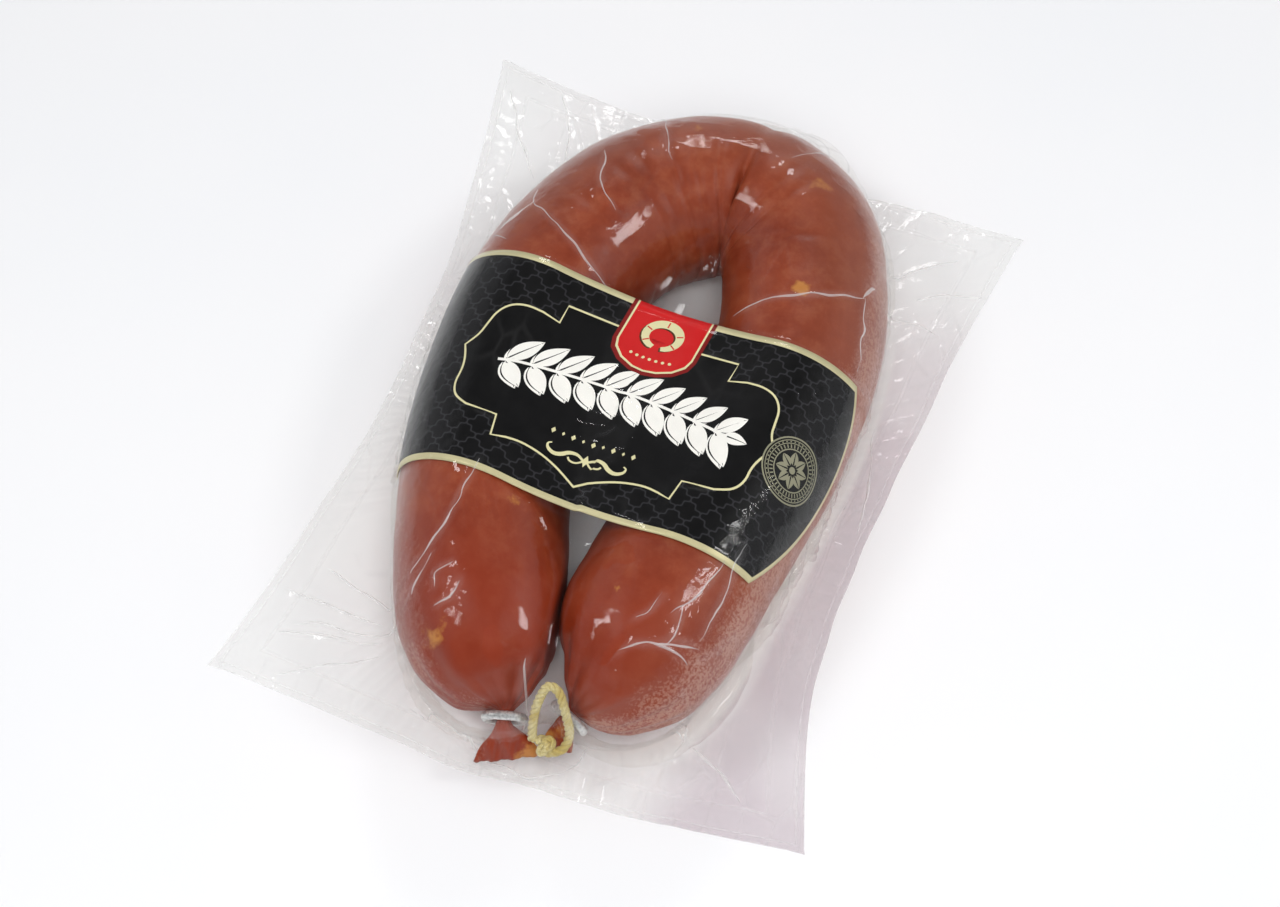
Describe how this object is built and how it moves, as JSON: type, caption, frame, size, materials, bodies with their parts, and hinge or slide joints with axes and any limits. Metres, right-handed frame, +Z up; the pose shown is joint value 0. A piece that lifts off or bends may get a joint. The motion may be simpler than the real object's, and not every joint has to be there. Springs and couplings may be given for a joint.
{
  "type": "cured sausage ring in a vacuum pouch",
  "caption": "Ring of cured smoked sausage bent double, ends clipped and tied, sealed in a clear vacuum pouch under a printed band.",
  "frame": {"origin": "middle of the pack's box in plan, on the surface it lies on", "axes": "+Z up, -Y towards the clipped ends, +X along the printed band"},
  "size_m": [0.156, 0.203, 0.0441],
  "materials": {
    "meat": "moist, semi gloss",
    "clip_wire": "drawn, bright",
    "twine": "twisted cotton",
    "label_print": "satin coated",
    "pouch_film": "clear plastic film, gloss"
  },
  "bodies": {
    "root": {"sausage": "meat", "clip_left": "clip_wire", "clip_right": "clip_wire", "twine_loop": "twine", "label": "label_print", "pouch_upper_film": "pouch_film", "pouch_lower_film": "pouch_film"}
  },
  "joints": []
}
